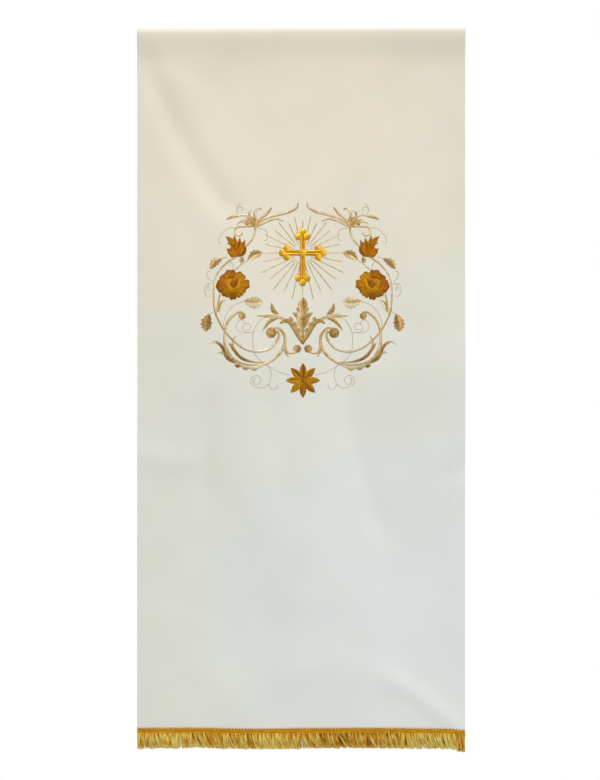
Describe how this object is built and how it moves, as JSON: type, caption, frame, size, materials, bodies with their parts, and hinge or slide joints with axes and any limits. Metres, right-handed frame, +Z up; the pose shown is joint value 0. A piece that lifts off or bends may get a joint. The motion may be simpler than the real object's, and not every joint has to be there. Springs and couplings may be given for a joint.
{
  "type": "ambo cloth",
  "caption": "Long ivory church hanging for a reading desk, turned over at its top to hang from a rail, with gold embroidery on its face and a gold fringe along its lower hem.",
  "frame": {"origin": "where the turn-over rests on the rail, at the middle of the cloth's width, on the underside of its crest", "axes": "+Z up, +X across the width to the viewer's right, the embroidered face towards -Y"},
  "size_m": [0.5004, 0.0172, 1.1016],
  "materials": {
    "ivory_cloth": "fine plain weave polyester, ivory, with a soft dull sheen",
    "gold_fringe": "braided gold heading with cut metallic strands",
    "bright_gold_thread": "shiny yellow-gold satin stitch",
    "amber_thread": "shiny amber-gold satin stitch",
    "pale_gold_thread": "pale antique gold satin stitch"
  },
  "bodies": {
    "root": {"panel": "ivory_cloth", "fringe": "gold_fringe"}
  },
  "joints": []
}
